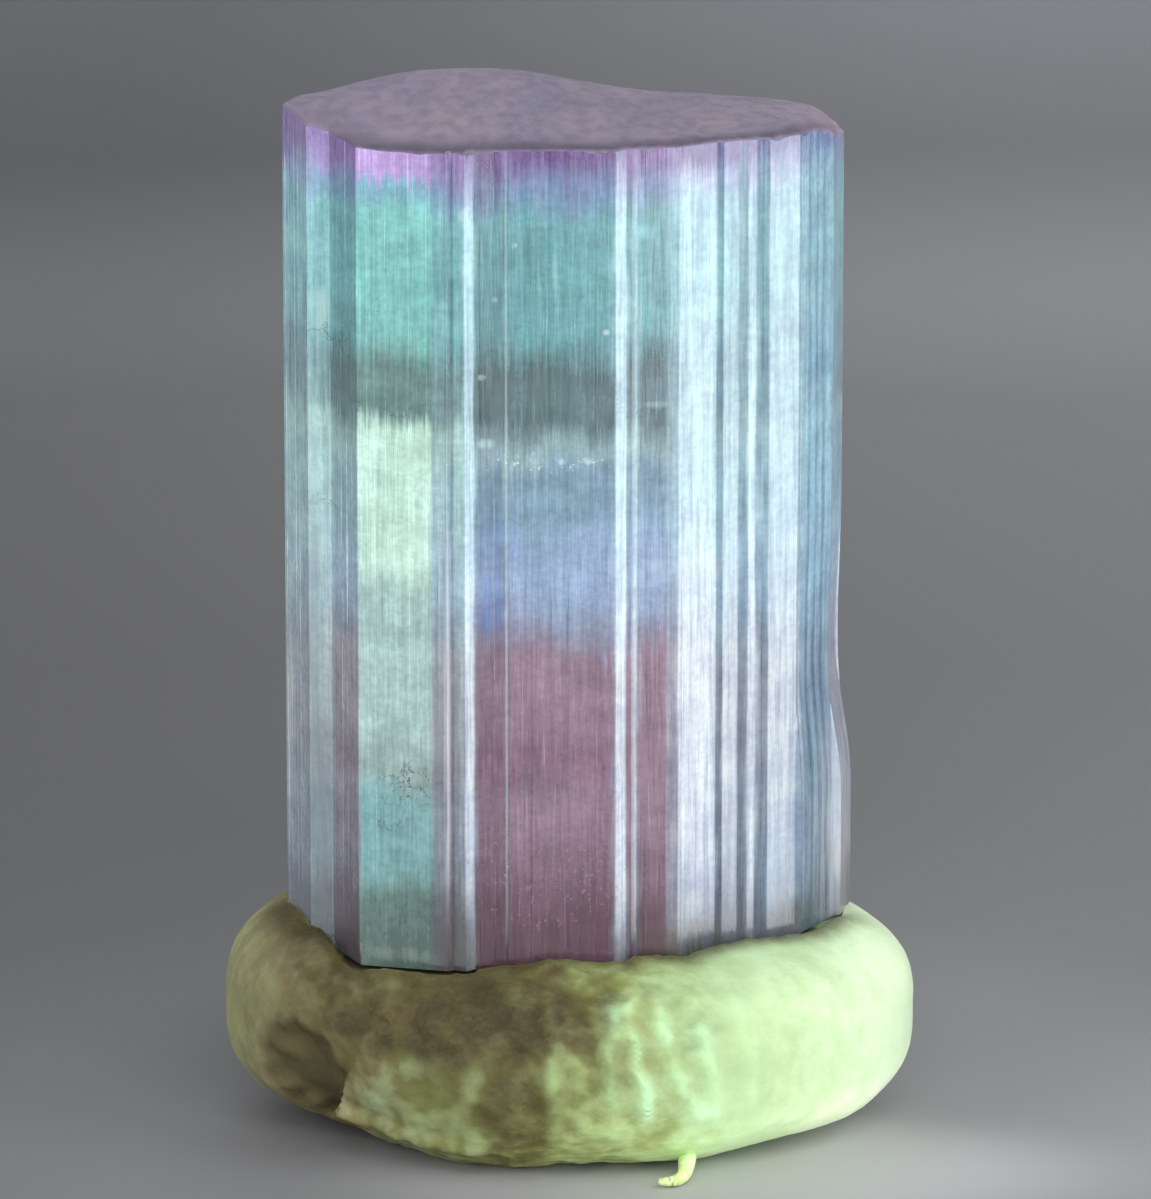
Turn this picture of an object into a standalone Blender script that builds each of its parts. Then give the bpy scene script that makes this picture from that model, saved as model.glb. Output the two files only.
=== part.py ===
"""A stout striated tourmaline prism, stood in a wad of mounting putty.

Lengths in the named values are in millimetres and are turned into metres as the meshes are made.
The origin is on the ground, in the middle of the putty's flat foot. +Z is up and -Y is the front.
"""

import math
import random

import bmesh
import bpy
from mathutils import Vector, noise

MM = 0.001

# The crystal: its upright reach, and where its axis stands.
CRYSTAL_BOTTOM = 5.5
CRYSTAL_TOP = 27.88
CRYSTAL_AXIS = (-0.33, 0.0)

# The heights of the sections between the crystal's foot and its end face.
SECTIONS_Z = (9.2, 10.9, 12.8, 14.2, 17.0, 22.0)

# The end face: it swells from the front rim to the back and from the right to the left, lifts at the
# front left, sinks at the back left, and is worn down at the right corner.
END_SWELL = 0.74
END_SWELL_Y = (-7.0, 6.0)
END_SWELL_X = (3.2, -2.8)
END_LEFT_LIFT = 0.3
END_LEFT_LIFT_X = (-4.5, -7.5)
END_LEFT_LIFT_Y = (3.0, -1.0)
END_LEFT_SINK = 0.1
END_RIGHT_WEAR = 0.4
END_RIGHT_WEAR_X = (6.8, 7.9)
END_DOME = 0.1
END_DOME_REACH = 7.75
RIM_ROUND = 0.2

# The rings of the end face, inward from the rim: the share of the outline, and of the rim's drop.
END_RINGS = ((1.0, 1.0), (0.988, 0.28), (0.962, 0.0), (0.8, 0.0), (0.5, 0.0), (0.2, 0.0))
FOOT_RINGS = (0.86, 0.965)
FOOT_RIM_LIFT = 0.12

# The chip off the foot of the front left edge.
CHIP_AT = (-6.1, -5.4)
CHIP_REACH = 1.7
CHIP_LIFT = 0.6

# The right side: a shallow waist, and below it a later growth that stands out from the prism.
RIGHT_LOOKS = (58.0, 112.0)
WAIST_DEPTH = 0.14
WAIST_Z = 13.6
WAIST_REACH = 2.4
GROWTH_OUT = 0.34
GROWTH_TOP_Z = 12.8
GROWTH_FULL_Z = 9.2

# The outline's left corner, and every prism face from there, anticlockwise seen from above: the
# direction that it looks, in degrees from the front towards the right, and its length.
OUTLINE_START = (-7.70, -0.60)
PRISM_FACES = (
    (-74, 2.71),
    (-45, 0.92),
    (-68.5, 2.09),
    (-17, 2.12),
    (-20, 0.40),
    (42, 0.20),
    (-24, 0.38),
    (48, 0.34),
    (4, 0.85),
    (40, 0.09),
    (1, 2.91),
    (50, 0.45),
    (5, 0.13),
    (48, 0.20),
    (14, 1.17),
    (48, 1.57),
    (-5, 0.17),
    (46, 0.62),
    (10, 0.29),
    (49, 0.27),
    (22, 0.40),
    (50, 1.30),
    (66, 2.46),
    (79, 1.78),
    (100, 1.10),
    (66, 0.25),
    (106, 0.95),
    (126, 1.60),
    (96, 0.30),
    (131, 1.05),
    (156, 1.60),
    (118, 0.35),
    (163, 1.10),
    (180, 2.30),
    (214, 0.28),
    (176, 1.70),
    (203, 1.75),
    (168, 0.25),
    (206, 1.35),
)
CLOSING_LOOKS = (235, 262)

# The striations: faces longer than this carry upright grooves, at about this spacing and depth.
GROOVED_FROM = 1.0
GROOVE_PITCH = 0.62
GROOVE_WIDTH = 0.13
GROOVE_DEPTH = 0.045
GROOVE_SEED = 11

# The putty: its half widths, the height of its belly, how its foot spreads to the front right, and
# how high its crown stands above its belly on four sides.
PUTTY_HALF_X = 9.58
PUTTY_HALF_Y = 8.9
PUTTY_CENTRE = (-0.19, -0.05)
BELLY_Z = 3.2
BELLY_TO_FOOT = 3.62
FOOT_SPREAD = 1.0
FOOT_SPREAD_TO = math.radians(-38)
CROWN_FRONT = 3.15
CROWN_RIGHT = 3.3
CROWN_BACK = 3.4
CROWN_LEFT = 3.95
BOXINESS = 0.72
LUMP_HEIGHT = 0.32
LUMP_SPACING = 4.2
PUTTY_SEED = Vector((3.1, 7.4, 1.9))

# The dent at the lower left, where the putty was pulled away.
DENT_AT = Vector((-7.6, -4.9, 2.2))
DENT_REACH = 1.25
DENT_DEPTH = 0.75

# The pulled ridges on the front: the height and the x of each point of the crest, from the top
# down, and how far the ridge stands out.
RIDGES = (
    (((5.4, -2.7), (3.9, -2.5), (2.4, -2.9)), 0.07),
    (((5.4, -0.75), (3.6, -0.6), (1.6, -0.5)), 0.10),
    (((5.4, 0.75), (4.7, 1.0), (3.8, 0.82), (1.6, 1.0)), 0.17),
    (((5.4, 1.8), (4.7, 1.65), (3.7, 2.0), (2.9, 2.3), (2.1, 3.0)), 0.16),
    (((5.4, 3.05), (4.3, 3.25), (2.6, 3.65)), 0.13),
    (((5.4, 4.3), (2.9, 4.75)), 0.07),
)
RIDGE_WIDTH = 0.42
RIDGE_TOP_Z = (5.35, 4.7)
RIDGE_FOOT_Z = (1.2, 2.6)
RIDGE_FADE_Y = (-3.0, -5.5)

# The fold along the foot of the front left, from its left end to its right end.
FOLD_FROM = Vector((-6.3, -6.3, 1.5))
FOLD_TO = Vector((-2.6, -7.9, 0.9))
FOLD_WIDTH = 0.32
FOLD_HEIGHT = 0.22

# The seat that the crystal is pressed into.
SEAT_GAP = 0.3
SEAT_GROW = 1.05
SEAT_HEIGHT = 6.0

# The curl of putty at the front foot: the points of its middle line and its half thickness.
CURL_LINE = (
    (3.05, -5.90, 0.75),
    (3.05, -6.90, 0.42),
    (3.00, -7.70, 0.22),
    (2.88, -8.30, 0.18),
    (2.60, -8.66, 0.18),
    (2.25, -8.62, 0.19),
)
CURL_RADIUS = 0.17

SHARP_EDGE_DEG = 20


def smooth(value):
    """0 below 0, 1 above 1, and an S curve between."""
    t = min(1.0, max(0.0, value))
    return t * t * (3 - 2 * t)


def between(ends, value):
    """0 at the first end, 1 at the second, and an S curve between."""
    return smooth((value - ends[0]) / (ends[1] - ends[0]))


def compass(degrees):
    """The outward direction and the anticlockwise direction of a face that looks this way."""
    a = math.radians(degrees)
    return Vector((math.sin(a), -math.cos(a))), Vector((math.cos(a), math.sin(a)))


def closed_faces():
    """Every prism face, with the last two made as long as closes the outline."""
    gap = Vector((0.0, 0.0))
    for looks, length in PRISM_FACES:
        gap -= compass(looks)[1] * length
    first, second = (compass(looks)[1] for looks in CLOSING_LOOKS)
    cross = first.x * second.y - first.y * second.x
    first_length = (gap.x * second.y - gap.y * second.x) / cross
    second_length = (first.x * gap.y - first.y * gap.x) / cross
    return (*PRISM_FACES, (CLOSING_LOOKS[0], first_length), (CLOSING_LOOKS[1], second_length))


def grooves(length, dice):
    """Where the points of a long face's grooves lie along it, and how deep each point is."""
    count = int(length / GROOVE_PITCH)
    for i in range(count):
        middle = length * (i + 0.5 + dice.uniform(-0.28, 0.28)) / count
        depth = GROOVE_DEPTH * dice.uniform(0.5, 1.3)
        yield middle - GROOVE_WIDTH / 2, 0.0
        yield middle, depth
        yield middle + GROOVE_WIDTH / 2, 0.0


def outline():
    """The prism's section: a point, and the direction that its face looks, for each corner."""
    dice = random.Random(GROOVE_SEED)
    at = Vector(OUTLINE_START)
    corners = []
    for looks, length in closed_faces():
        out, along = compass(looks)
        corners.append((at.copy(), looks))
        if length > GROOVED_FROM:
            for place, depth in grooves(length, dice):
                corners.append((at + along * place - out * depth, looks))
        at += along * length
    return corners


def right_side(looks, z):
    """How far the right side stands out from the outline at this height: in at the waist, out below."""
    low, high = RIGHT_LOOKS
    if not low <= looks <= high:
        return 0.0
    in_waist = (z - WAIST_Z) / WAIST_REACH
    growth = between((GROWTH_TOP_Z, GROWTH_FULL_Z), z)
    stand = GROWTH_OUT * growth - WAIST_DEPTH * math.exp(-in_waist * in_waist)
    return stand * math.sin(math.pi * (looks - low) / (high - low))


def end_face(x, y):
    """The height of the end face at this point of the section."""
    back = between(END_SWELL_Y, y)
    left = between(END_LEFT_LIFT_X, x)
    swell = END_SWELL * back * between(END_SWELL_X, x)
    lift = left * (END_LEFT_LIFT * between(END_LEFT_LIFT_Y, y) - END_LEFT_SINK * back)
    dome = END_DOME * (1 - (x * x + y * y) / END_DOME_REACH**2)
    return CRYSTAL_TOP + swell + lift + dome - END_RIGHT_WEAR * between(END_RIGHT_WEAR_X, x)


def foot_face(x, y):
    """The height of the crystal's lower rim, with the chip at its front left."""
    away = math.hypot(x - CHIP_AT[0], y - CHIP_AT[1]) / CHIP_REACH
    return CRYSTAL_BOTTOM + FOOT_RIM_LIFT + CHIP_LIFT * math.exp(-away * away)


def placed(x, y, z):
    """A point of the prism, set on its axis, in metres."""
    return Vector((x + CRYSTAL_AXIS[0], y + CRYSTAL_AXIS[1], z)) * MM


def standing(p, looks, z):
    """A corner of the outline at this height, stood out or in as the right side does there."""
    out = compass(looks)[0] * right_side(looks, z)
    return placed(p.x + out.x, p.y + out.y, z)


def crystal_rings(corners):
    """Every ring of the crystal from its foot to its end face, each a list of points."""
    for share in FOOT_RINGS:
        yield [placed(p.x * share, p.y * share, CRYSTAL_BOTTOM) for p, _ in corners]
    yield [standing(p, looks, foot_face(p.x, p.y)) for p, looks in corners]
    for z in SECTIONS_Z:
        yield [standing(p, looks, z) for p, looks in corners]
    for share, drop in END_RINGS:
        ring = []
        for p, _ in corners:
            x, y = p.x * share, p.y * share
            ring.append(placed(x, y, end_face(x, y) - RIM_ROUND * drop))
        yield ring


def ring_solid(name, rings):
    """A closed solid from a stack of rings, each pulled up out of the one below."""
    bm = bmesh.new()
    corner = bm.verts.layers.int.new("corner")
    rings = list(rings)
    foot = [bm.verts.new(p) for p in rings[0]]
    for i, v in enumerate(foot):
        v[corner] = i
    bm.faces.new(foot)
    edges = list(bm.edges)
    for ring in rings[1:]:
        pulled = bmesh.ops.extrude_edge_only(bm, edges=edges)["geom"]
        for v in (g for g in pulled if isinstance(g, bmesh.types.BMVert)):
            v.co = ring[v[corner]]
        edges = [g for g in pulled if isinstance(g, bmesh.types.BMEdge)]
        edges = [e for e in edges if e.is_boundary]
    bmesh.ops.edgeloop_fill(bm, edges=edges)
    bmesh.ops.triangulate(bm, faces=[f for f in bm.faces if len(f.verts) > 4])
    bmesh.ops.recalc_face_normals(bm, faces=bm.faces)
    return mesh_object(name, bm)


def mesh_object(name, bm):
    mesh = bpy.data.meshes.new(name)
    bm.to_mesh(mesh)
    bm.free()
    return bpy.data.objects.new(name, mesh)


def crown(around):
    """How high the putty stands above its belly, by the direction round it."""
    front = max(0.0, -math.sin(around)) ** 2 * CROWN_FRONT
    back = max(0.0, math.sin(around)) ** 2 * CROWN_BACK
    right = max(0.0, math.cos(around)) ** 2 * CROWN_RIGHT
    left = max(0.0, -math.cos(around)) ** 2 * CROWN_LEFT
    return front + back + right + left


def crest_x(points, z):
    """Where a ridge's crest lies at this height."""
    for (high, x_high), (low, x_low) in zip(points, points[1:]):
        if z >= low:
            return x_low + (x_high - x_low) * smooth((z - low) / (high - low))
    return points[-1][1]


def ridge_height(p):
    """How far the pulled ridges lift the front of the putty at this point."""
    fade = between(RIDGE_FOOT_Z, p.z) * between(RIDGE_TOP_Z, p.z) * between(RIDGE_FADE_Y, p.y)
    total = 0.0
    for points, height in RIDGES:
        away = (p.x - crest_x(points, p.z)) / RIDGE_WIDTH
        total += height * math.exp(-away * away)
    return total * fade


def fold_height(p):
    """The long low fold along the foot of the front left."""
    span = FOLD_TO - FOLD_FROM
    t = min(1.0, max(0.0, (p - FOLD_FROM).dot(span) / span.length_squared))
    away = (p - FOLD_FROM - span * t).length / FOLD_WIDTH
    return FOLD_HEIGHT * math.exp(-away * away)


def dent_depth(p):
    away = (p - DENT_AT).length / DENT_REACH
    return DENT_DEPTH * math.exp(-(away**4))


def putty_point(n):
    """The putty's surface in the direction of the unit vector n."""
    around = math.atan2(n.y, n.x)
    flat = math.hypot(n.x, n.y)
    reach = flat**BOXINESS
    lift = abs(n.z) ** BOXINESS
    height = crown(around) * lift if n.z > 0 else -BELLY_TO_FOOT * lift
    spread = FOOT_SPREAD * max(0.0, -n.z) * flat * max(0.0, math.cos(around - FOOT_SPREAD_TO))
    p = Vector((
        PUTTY_CENTRE[0] + PUTTY_HALF_X * math.cos(around) * reach + spread * math.cos(FOOT_SPREAD_TO),
        PUTTY_CENTRE[1] + PUTTY_HALF_Y * math.sin(around) * reach + spread * math.sin(FOOT_SPREAD_TO),
        BELLY_Z + height,
    ))
    lump = LUMP_HEIGHT * noise.noise(p / LUMP_SPACING + PUTTY_SEED)
    p += n * (lump + ridge_height(p) + fold_height(p) - dent_depth(p))
    p.z = max(0.0, p.z)
    return p * MM


def putty_body():
    bm = bmesh.new()
    bmesh.ops.create_icosphere(bm, subdivisions=5, radius=1.0)
    for v in bm.verts:
        v.co = putty_point(v.co.normalized())
    bmesh.ops.recalc_face_normals(bm, faces=bm.faces)
    return mesh_object("putty_base", bm)


def curl():
    """The thin curl of putty at the front foot, as a closed mesh."""
    curve = bpy.data.curves.new("curl", "CURVE")
    curve.dimensions = "3D"
    curve.bevel_depth = CURL_RADIUS * MM
    curve.bevel_resolution = 1
    curve.resolution_u = 3
    curve.use_fill_caps = True
    spline = curve.splines.new("NURBS")
    spline.points.add(len(CURL_LINE) - 1)
    for point, place in zip(spline.points, CURL_LINE):
        point.co = (*(Vector(place) * MM), 1.0)
    spline.use_endpoint_u = True
    spline.order_u = 4
    line = bpy.data.objects.new("curl_line", curve)
    bpy.context.scene.collection.objects.link(line)
    bpy.context.view_layer.update()
    solid = line.evaluated_get(bpy.context.evaluated_depsgraph_get())
    mesh = bpy.data.meshes.new_from_object(solid)
    bpy.data.objects.remove(line)
    bm = bmesh.new()
    bm.from_mesh(mesh)
    bmesh.ops.remove_doubles(bm, verts=bm.verts, dist=1e-6)
    return mesh_object("curl_cutter", bm)


def seat(corners):
    """The room that the crystal and its gap take out of the putty."""
    foot = CRYSTAL_BOTTOM - SEAT_GAP
    rings = []
    for z in (foot, foot + SEAT_HEIGHT):
        rings.append([placed(p.x * SEAT_GROW, p.y * SEAT_GROW, z) for p, _ in corners])
    return ring_solid("seat_cutter", rings)


def finish(obj, name, colour, roughness, transmission, collection):
    """Gives a piece its material, its shading and its place in the collection."""
    material = bpy.data.materials.new(name)
    material.use_nodes = True
    shader = material.node_tree.nodes["Principled BSDF"]
    shader.inputs["Base Color"].default_value = (*colour, 1.0)
    shader.inputs["Roughness"].default_value = roughness
    shader.inputs["Metallic"].default_value = 0.0
    shader.inputs["Transmission Weight"].default_value = transmission
    obj.data.materials.append(material)
    obj.data.shade_smooth()
    obj.data.set_sharp_from_angle(angle=math.radians(SHARP_EDGE_DEG))
    collection.objects.link(obj)


def hide_cutter(obj, collection):
    obj.hide_render = True
    obj.display_type = "WIRE"
    collection.objects.link(obj)


def boolean(obj, other, operation):
    change = obj.modifiers.new(other.name, "BOOLEAN")
    change.operation = operation
    change.object = other


def main():
    for obj in list(bpy.data.objects):
        bpy.data.objects.remove(obj)
    scene = bpy.context.scene.collection
    parts = bpy.data.collections.new("tourmaline on putty")
    cutters = bpy.data.collections.new("cutters")
    scene.children.link(parts)
    scene.children.link(cutters)

    corners = outline()
    crystal = ring_solid("tourmaline_crystal", crystal_rings(corners))
    finish(crystal, "tourmaline", (0.42, 0.66, 0.64), 0.12, 0.6, parts)

    putty = putty_body()
    finish(putty, "putty", (0.72, 0.86, 0.46), 0.55, 0.0, parts)
    strand = curl()
    room = seat(corners)
    hide_cutter(strand, cutters)
    hide_cutter(room, cutters)
    boolean(putty, strand, "UNION")
    boolean(putty, room, "DIFFERENCE")


main()
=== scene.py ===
"""Looks for a banded tourmaline prism that stands in a wad of mounting putty.

The crystal and the putty are each remodelled as a fine mesh over its solid. Lengths in the named
values are in millimetres and are turned into metres as the meshes are made.
"""

import math
import random

import bmesh
import bpy
import numpy as np
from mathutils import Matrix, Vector, noise

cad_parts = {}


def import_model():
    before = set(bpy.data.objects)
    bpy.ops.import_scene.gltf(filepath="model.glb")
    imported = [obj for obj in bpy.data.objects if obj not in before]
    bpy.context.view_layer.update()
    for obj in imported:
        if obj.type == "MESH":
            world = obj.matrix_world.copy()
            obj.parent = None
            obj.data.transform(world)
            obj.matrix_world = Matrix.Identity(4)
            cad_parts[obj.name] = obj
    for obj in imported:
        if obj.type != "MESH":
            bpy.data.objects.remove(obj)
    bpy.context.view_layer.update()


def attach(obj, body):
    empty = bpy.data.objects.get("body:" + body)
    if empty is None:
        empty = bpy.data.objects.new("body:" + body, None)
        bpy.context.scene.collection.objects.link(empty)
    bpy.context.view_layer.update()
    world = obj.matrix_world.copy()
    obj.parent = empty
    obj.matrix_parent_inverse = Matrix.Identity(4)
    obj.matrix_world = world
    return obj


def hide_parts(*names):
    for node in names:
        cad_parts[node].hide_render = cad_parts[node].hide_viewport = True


MM = 0.001

# The crystal's upright reach, and where its axis stands.
CRYSTAL_BOTTOM = 5.5
CRYSTAL_TOP = 27.88
CRYSTAL_AXIS = (-0.33, 0.0)

# The end face: it swells from the front rim to the back and from the right to the left, lifts at the
# front left, sinks at the back left, and is worn down at the right corner.
END_SWELL = 0.74
END_SWELL_Y = (-7.0, 6.0)
END_SWELL_X = (3.2, -2.8)
END_LEFT_LIFT = 0.3
END_LEFT_LIFT_X = (-4.5, -7.5)
END_LEFT_LIFT_Y = (3.0, -1.0)
END_LEFT_SINK = 0.1
END_RIGHT_WEAR = 0.4
END_RIGHT_WEAR_X = (6.8, 7.9)
END_DOME = 0.1
END_DOME_REACH = 7.75
RIM_ROUND = 0.1

# The rings of the end face, inward from the rim: the share of the outline, and of the rim's drop.
END_RINGS = (
    (0.9965, 0.55),
    (0.991, 0.25),
    (0.982, 0.08),
    *((1 - 0.001 * (5 + i) ** 2, 0.0) for i in range(1, 26)),
)

# The rim is darker, a painted shade: the shares of the outline where that begins and where it is full.
RIM_SHADE_SHARES = (0.78, 0.98)

# The low swells of the end face: their height, their spacing, and how fast they rise from the rim.
END_RELIEF = 0.04
END_RELIEF_SPACING = 2.6
END_RELIEF_RISE = 8
END_RELIEF_LAYER = 0.7

# The rings of the crystal's foot, outward from its middle, as shares of the outline.
FOOT_RINGS = (0.5, 0.86, 0.965, 0.992)

# The chip off the foot of the front left edge, and the bevel round the foot.
CHIP_AT = (-6.1, -5.4)
CHIP_REACH = 1.7
CHIP_LIFT = 0.6
FOOT_RIM_LIFT = 0.12

# The right side: a shallow waist, and below it a later growth that stands out from the prism.
RIGHT_LOOKS = (58.0, 112.0)
WAIST_DEPTH = 0.14
WAIST_Z = 13.6
WAIST_REACH = 2.4
GROWTH_OUT = 0.34
GROWTH_TOP_Z = 12.8
GROWTH_FULL_Z = 9.2

# The outline's left corner, and every prism face from there, anticlockwise seen from above: the
# direction that it looks, in degrees from the front towards the right, its length, and its look.
OUTLINE_START = (-7.70, -0.60)
PRISM_FACES = (
    # The first strip of the left face carries a painted highlight along the crystal's edge.
    (-74, 0.60, "painted edge highlight"),
    (-74, 2.11, "dim left"),
    (-45, 0.50, "mint"),
    (-45, 0.42, "soft mint"),
    (-68.5, 2.09, "dusk"),
    (-17, 2.12, "bright left"),
    (-20, 0.40, "grey light"),
    (42, 0.20, "faint"),
    (-24, 0.38, "grey light"),
    (48, 0.34, "soft white"),
    (4, 0.85, "deep"),
    (40, 0.09, "faint"),
    (1, 2.91, "core"),
    (50, 0.45, "white reflection"),
    (5, 0.13, "core"),
    (48, 0.20, "glow"),
    (14, 0.87, "core"),
    (14, 0.30, "haze"),
    (48, 1.57, "white reflection"),
    (-5, 0.17, "dark edge"),
    (46, 0.62, "glow"),
    (10, 0.29, "dark edge"),
    (49, 0.27, "white reflection"),
    (22, 0.40, "blue grey"),
    (50, 1.30, "pale blue"),
    (66, 0.30, "pale blue"),
    (66, 0.40, "blue"),
    (66, 0.12, "line"),
    (66, 0.42, "blue"),
    (66, 0.12, "line"),
    (66, 0.36, "blue"),
    (66, 0.14, "line"),
    (66, 0.60, "blue"),
    (79, 1.78, "dim right"),
    (100, 1.10, "dim right"),
    (66, 0.25, "pale blue"),
    (106, 0.95, "blue grey"),
    (126, 1.60, "core"),
    (96, 0.30, "glow"),
    (131, 1.05, "blue"),
    (156, 1.60, "mint"),
    (118, 0.35, "glow"),
    (163, 1.10, "dusk"),
    (180, 2.30, "core"),
    (214, 0.28, "glow"),
    (176, 1.70, "bright left"),
    (203, 1.75, "core"),
    (168, 0.25, "glow"),
    (206, 1.35, "blue grey"),
)
CLOSING_FACES = ((235, "mint"), (262, "core"))

# How each look is mixed: its share of the pale green zones and of the blue zones in place of the rosy
# ones, its share of the pale zones over them, which carry painted reflection of the lights, and how
# bright it is, partly its own brightness and partly painted light and shade for the way the face turns
# to the lights.
LOOKS = {
    "core": (0.0, 0.0, 0.0, 0.86),
    "deep": (0.0, 0.0, 0.0, 0.67),
    "haze": (0.1, 0.3, 0.28, 0.95),
    "bright left": (1.0, 0.0, 0.0, 1.0),
    # A painted highlight along the left edge of the crystal.
    "painted edge highlight": (0.4, 0.2, 0.8, 1.45),
    "mint": (0.8, 0.1, 0.42, 1.22),
    "soft mint": (0.7, 0.1, 0.25, 1.15),
    "dim left": (0.5, 0.1, 0.5, 1.3),
    "dusk": (0.3, 0.0, 0.1, 1.25),
    "grey light": (0.45, 0.1, 0.1, 1.0),
    "faint": (0.2, 0.1, 0.0, 0.6),
    "glow": (0.3, 0.5, 0.6, 1.0),
    # The bright strips that face the lights: painted reflection of the lights, on top of the reflection
    # that they really give.
    "soft white": (0.3, 0.5, 0.72, 0.94),
    "white reflection": (0.2, 0.6, 0.95, 1.0),
    "dark edge": (0.2, 0.6, 0.05, 0.76),
    "line": (0.0, 0.9, 0.0, 1.0),
    "blue grey": (0.2, 0.6, 0.15, 0.74),
    "pale blue": (0.0, 1.0, 0.7, 1.05),
    "blue": (0.0, 1.0, 0.25, 1.42),
    "dim right": (0.1, 0.5, 0.35, 1.35),
}

# The looks run into each other over this width, and their edges wander by this much.
LOOK_BLEND_MM = 0.035
LOOK_RAGGED_MM = 0.05
LOOK_RAGGED_RATE = 0.5

# The striations: steps whose short side faces the right, and grooves, both cut along the prism, and
# the clear widths that they keep at the ends of a face.
STEP_PITCH = (0.10, 0.42)
STEP_DEPTH = (0.004, 0.022)
STEP_DEPTH_SHARE = (0.4, 1.0)
FIRST_STEP_SHARE = 0.6
LAST_STEP_MM = 0.06
END_STEP_MM = 0.02
EDGE_CLEAR_MM = 0.005
GROOVE_SHARE = 0.35
STRIATION_FADE_MM = 4.0
WIDEST_COLUMN = 0.22
CORNER_MM = 0.05
ROW_MM = 0.36
STRIATION_SEED = 23
SHARP_EDGE_DEG = 9

# The chips along the rim of the end face: how many, and their sizes.
RIM_CHIPS = 34
RIM_CHIP_REACH = (0.14, 0.5)
RIM_CHIP_DEPTH = (0.02, 0.12)


def smooth(value):
    """0 below 0, 1 above 1, and an S curve between."""
    t = min(1.0, max(0.0, value))
    return t * t * (3 - 2 * t)


def between(ends, value):
    """0 at the first end, 1 at the second, and an S curve between."""
    return smooth((value - ends[0]) / (ends[1] - ends[0]))


def compass(degrees):
    """The outward direction and the anticlockwise direction of a face that looks this way."""
    a = math.radians(degrees)
    return Vector((math.sin(a), -math.cos(a))), Vector((math.cos(a), math.sin(a)))


def closed_faces():
    """Every prism face, with the last two made as long as closes the outline."""
    gap = Vector((0.0, 0.0))
    for looks, length, _ in PRISM_FACES:
        gap -= compass(looks)[1] * length
    first, second = (compass(looks)[1] for looks, _ in CLOSING_FACES)
    cross = first.x * second.y - first.y * second.x
    lengths = (
        (gap.x * second.y - gap.y * second.x) / cross,
        (first.x * gap.y - first.y * gap.x) / cross,
    )
    closing = [(looks, length, look) for (looks, look), length in zip(CLOSING_FACES, lengths)]
    return (*PRISM_FACES, *closing)


def right_side(looks, z):
    """How far the right side stands out from the outline at this height: in at the waist, out below."""
    low, high = RIGHT_LOOKS
    if not low <= looks <= high:
        return 0.0
    in_waist = (z - WAIST_Z) / WAIST_REACH
    growth = between((GROWTH_TOP_Z, GROWTH_FULL_Z), z)
    stand = GROWTH_OUT * growth - WAIST_DEPTH * math.exp(-in_waist * in_waist)
    return stand * math.sin(math.pi * (looks - low) / (high - low))


def end_face(x, y):
    """The height of the end face at this point of the section."""
    back = between(END_SWELL_Y, y)
    left = between(END_LEFT_LIFT_X, x)
    swell = END_SWELL * back * between(END_SWELL_X, x)
    lift = left * (END_LEFT_LIFT * between(END_LEFT_LIFT_Y, y) - END_LEFT_SINK * back)
    dome = END_DOME * (1 - (x * x + y * y) / END_DOME_REACH**2)
    return CRYSTAL_TOP + swell + lift + dome - END_RIGHT_WEAR * between(END_RIGHT_WEAR_X, x)


def foot_face(x, y):
    """The height of the crystal's lower rim, with the chip at its front left."""
    away = math.hypot(x - CHIP_AT[0], y - CHIP_AT[1]) / CHIP_REACH
    return CRYSTAL_BOTTOM + FOOT_RIM_LIFT + CHIP_LIFT * math.exp(-away * away)


def placed(x, y, z):
    """A point of the prism, set on its axis, in metres."""
    return ((x + CRYSTAL_AXIS[0]) * MM, (y + CRYSTAL_AXIS[1]) * MM, z * MM)


def striations(length, dice):
    """Where the points of a face's steps and grooves lie along it, and how deep each point is."""
    place = dice.uniform(*STEP_PITCH) * FIRST_STEP_SHARE
    points = []
    while place < length - LAST_STEP_MM:
        depth = dice.uniform(*STEP_DEPTH) * dice.uniform(*STEP_DEPTH_SHARE)
        pitch = min(dice.uniform(*STEP_PITCH), length - place - END_STEP_MM)
        if dice.random() < GROOVE_SHARE:
            points += [(place, 0.0), (place + depth, depth), (place + 2 * depth, 0.0)]
        else:
            points += [(place, 0.0), (place + depth, depth)]
        place += max(pitch, 2.5 * depth)
    return [(p, d) for p, d in points if p < length - EDGE_CLEAR_MM]


def filled(points, length):
    """The same points from end to end, with more at the corners and where two lie far apart."""
    inner = [(p, d) for p, d in points if CORNER_MM < p < length - CORNER_MM]
    if length > 4 * CORNER_MM:
        inner = [(CORNER_MM, 0.0), *inner, (length - CORNER_MM, 0.0)]
    points = [(0.0, 0.0), *inner, (length, 0.0)]
    out = []
    for (p, d), (q, e) in zip(points, points[1:]):
        parts = max(1, math.ceil((q - p) / WIDEST_COLUMN))
        out += [(p + (q - p) * i / parts, d + (e - d) * i / parts) for i in range(parts)]
    return out


def columns():
    """Every upright line of the prism: its point, its way out, its depth, its look and its place."""
    dice = random.Random(STRIATION_SEED)
    at = Vector(OUTLINE_START)
    faces = closed_faces()
    before = faces[-1]
    lines = []
    run = 0.0
    for face in faces:
        looks, length, look = face
        out, along = compass(looks)
        corner_look = min(face, before, key=lambda row: row[1])[2]
        for place, depth in filled(striations(length, dice), length):
            p = at + along * place
            shown = look if place > 0.0 else corner_look
            line = {"p": p, "out": out, "looks": looks, "depth": depth}
            lines.append({**line, "look": shown, "run": run + place})
        at += along * length
        run += length
        before = face
    return lines


def striation_share(run, z):
    """How much of a striation's depth shows at this height: each fades in and out up the prism."""
    wave = noise.noise(Vector((run * 1.7, z / STRIATION_FADE_MM, 3.3)))
    return 0.35 + 0.65 * smooth(0.5 + wave * 1.3)


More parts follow.
